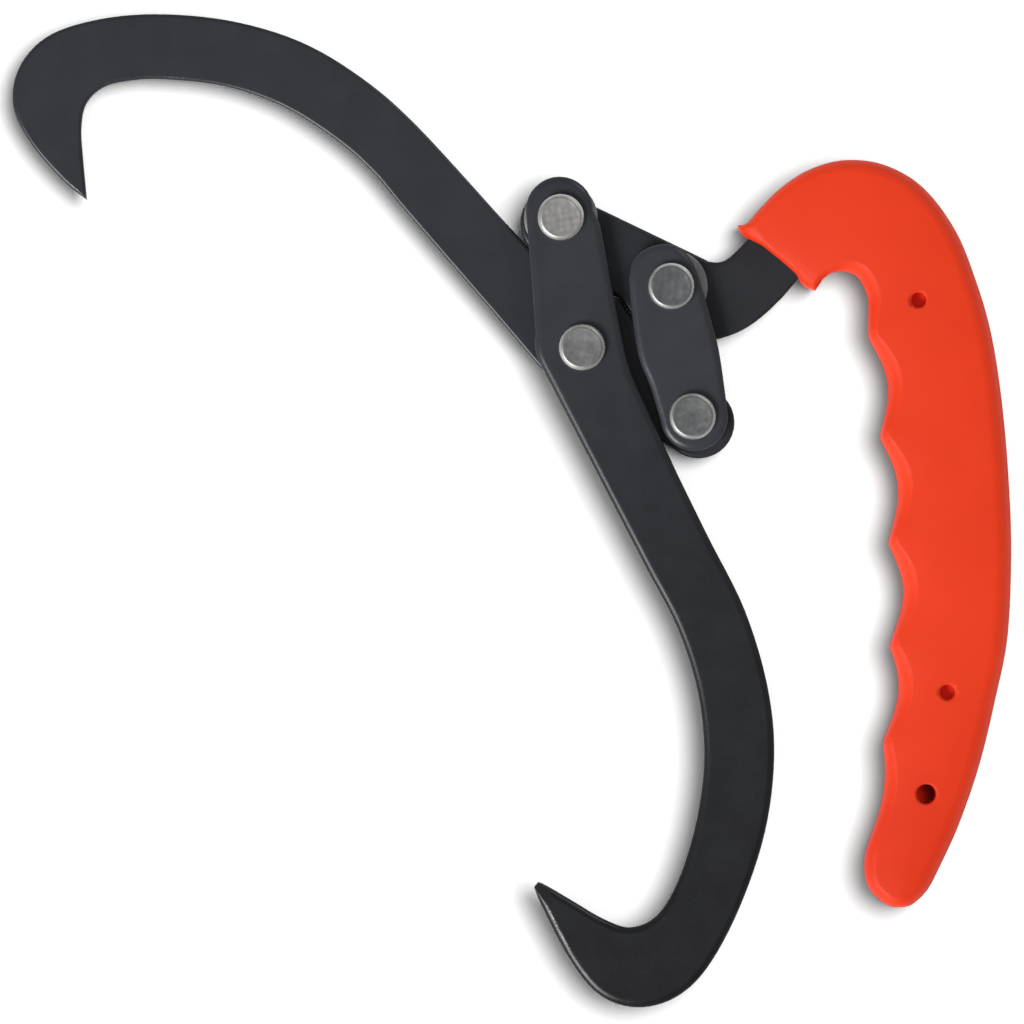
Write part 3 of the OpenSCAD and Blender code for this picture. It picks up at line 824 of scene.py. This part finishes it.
def studio_world(look):
    """The room: bright walls, brightest at the lower left, and a dimmer ceiling. The brightness falls from the
    wall's to the ceiling's with the third power of (1 - sine of the elevation). The foot of the walls, up to 4
    degrees, is white all round, behind the tool in views from the side."""
    world = bpy.data.worlds.new("studio_room")
    world.use_nodes = True
    tree = world.node_tree
    tree.nodes.clear()
    way = add_node(tree, "TexCoord").outputs["Generated"]
    up = add_node(tree, "SeparateXYZ", (way,)).outputs["Z"]
    low = add_node(tree, "MapRange", (up, 0, 1, 1, 0))
    cubed = add_node(tree, "Math", (low, 3.0), operation="POWER")
    lower_left = (-0.707, -0.707, 0)
    side = add_node(tree, "VectorMath", (way, lower_left), operation="DOT_PRODUCT").outputs["Value"]
    darkest, brightest = look.walls - look.wall_contrast, look.walls + look.wall_contrast
    wall = add_node(tree, "MapRange", (side, -1, 1, darkest, brightest))
    rise = add_node(tree, "Math", (wall, look.ceiling), operation="SUBTRACT")
    room = add_node(tree, "Math", (cubed, rise, look.ceiling), operation="MULTIPLY_ADD")
    foot = add_node(tree, "MapRange", (up, 0.07, 0.09, 1, 0))
    shown = add_node(tree, "Math", (room, foot), operation="MAXIMUM")
    back = add_node(tree, "Background", {"Color": linear("#FFFFFF"), "Strength": shown})
    add_node(tree, "OutputWorld", {"Surface": back})
    bpy.context.scene.world = world


def place_light(name, kind, azimuth, elevation, distance, receivers, **settings):
    """A light at an azimuth and elevation in degrees that points at the tool and lights only the receivers."""
    light = bpy.data.lights.new(name, kind)
    for key, value in settings.items():
        setattr(light, key, value)
    lamp = bpy.data.objects.new(name, light)
    bpy.context.scene.collection.objects.link(lamp)
    a, e = radians(azimuth), radians(elevation)
    lamp.location = distance * Vector((cos(e) * cos(a), cos(e) * sin(a), sin(e)))
    lamp.rotation_euler = lamp.location.to_track_quat("Z", "Y").to_euler()
    lamp.visible_camera = False
    lamp.light_linking.receiver_collection = receivers
    return lamp


class TONGS_OT_plates(bpy.types.Operator):
    """Makes the two jaws, the link plate and the handle bar"""
    bl_idname = "tongs.plates"
    bl_label = "Steel plates"

    def execute(self, context):
        look = context.scene.tongs_plates
        paint = satin_enamel(look)
        for node, body in PLATES.items():
            settle(make_plate(node, look), body, node, paint)
        return {"FINISHED"}


class TONGS_OT_rivets(bpy.types.Operator):
    """Makes the four rivets and their washers"""
    bl_idname = "tongs.rivets"
    bl_label = "Rivets and washers"

    def execute(self, context):
        look = context.scene.tongs_rivets
        steel = zinc_plated_steel("zinc_plated_rivet_steel", look.steel, look.steel_dull)
        washer = zinc_plated_steel("zinc_plated_washer_steel", look.washer, look.steel_dull)
        for node, body in RIVETS.items():
            settle(make_rivet(node, look), body, node, steel)
        for node, body in WASHERS.items():
            settle(make_washer(node, look), body, node, washer)
        return {"FINISHED"}


class TONGS_OT_grip(bpy.types.Operator):
    """Makes the moulded finger grip"""
    bl_idname = "tongs.grip"
    bl_label = "Grip"

    def execute(self, context):
        look = context.scene.tongs_grip
        grip = make_grip(look)
        finish_grip(grip, look)
        settle(grip, "handle", "grip", moulded_plastic(look))
        # the photo shows no red in the rivets and the paint
        grip.visible_glossy = False
        return {"FINISHED"}


class TONGS_OT_stage(bpy.types.Operator):
    """Makes the floor, the lights, the room and the camera"""
    bl_idname = "tongs.stage"
    bl_label = "Stage"

    def execute(self, context):
        look = context.scene.tongs_stage
        half, below = 4.0, -0.05 * MM
        corners = half * np.array([[-1, -1], [1, -1], [1, 1], [-1, 1]])
        floor = put_mesh("studio_floor", at_height(corners, below), [[0, 1, 2, 3]])
        # painted shade: a small dark red disc just over the floor, which gives the hanging hole a dark red bottom
        # in place of the hole's deep shade, tinted by its red walls
        around = 32
        disc = at_height(circle(HANGING_HOLE, 3.5 * MM, around), -0.03 * MM)
        hole_shade_disc = put_mesh("painted_shade_under_the_hanging_hole", disc, [list(range(around))])
        floors = bpy.data.collections.new("studio_floors")
        for flat, name, text in ((floor, "studio_board", "#595959"), (hole_shade_disc, "painted_red_shade", "#610A03")):
            flat.data.materials.append(studio_board(name, text))
            floors.objects.link(flat)
        studio_world(look)
        place_light("key_light", "AREA", 225, 48, 1.8, lit_pieces(), energy=look.key, shape="SQUARE", size=0.8)
        place_light("rim_light", "AREA", 50, 35, 1.1, lit_pieces(), energy=look.rim, shape="SQUARE", size=0.35)
        place_light("floor_light", "SUN", 23, 76, 1.5, floors, energy=look.floor_sun, angle=radians(24))
        place_light("floor_sky", "SUN", 0, 90, 1.5, floors, energy=look.floor_sky, angle=radians(60))
        camera = bpy.data.objects.new("camera", bpy.data.cameras.new("camera"))
        context.scene.collection.objects.link(camera)
        film_mm = 36
        camera.data.sensor_width = film_mm
        camera.data.lens = film_mm * look.distance / look.view_width
        plates = (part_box("handle_bar")[0][2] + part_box("lower_jaw")[1][2]) / 2
        camera.location = (-0.01 * MM, -0.4 * MM, plates + look.distance)
        context.scene.camera = camera
        context.scene.view_settings.view_transform = "Standard"
        return {"FINISHED"}


class TONGS_PT_panel(bpy.types.Panel):
    """Lists the operators and the settings"""
    bl_idname = "TONGS_PT_panel"
    bl_label = "Log tongs"
    bl_space_type = "VIEW_3D"
    bl_region_type = "UI"
    bl_category = "Log tongs"

    def draw(self, context):
        for operator in OPERATORS:
            self.layout.operator(operator.bl_idname)
        for name in GROUPS:
            group = getattr(context.scene, name)
            # the first two are the group's own type and name
            for key in group.bl_rna.properties.keys()[2:]:
                self.layout.prop(group, key)


GROUPS = {"tongs_plates": PlateSettings, "tongs_rivets": RivetSettings, "tongs_grip": GripSettings,
          "tongs_stage": StageSettings}
OPERATORS = (TONGS_OT_plates, TONGS_OT_rivets, TONGS_OT_grip, TONGS_OT_stage)


def register():
    for kind in (*GROUPS.values(), *OPERATORS, TONGS_PT_panel):
        bpy.utils.register_class(kind)
    for name, group in GROUPS.items():
        setattr(bpy.types.Scene, name, bpy.props.PointerProperty(type=group))


def unregister():
    for name in GROUPS:
        delattr(bpy.types.Scene, name)
    for kind in (TONGS_PT_panel, *reversed(OPERATORS), *reversed(GROUPS.values())):
        bpy.utils.unregister_class(kind)


def main():
    register()
    bpy.ops.tongs.plates()
    bpy.ops.tongs.rivets()
    bpy.ops.tongs.grip()
    bpy.ops.tongs.stage()


if __name__ == "__main__":
    main()
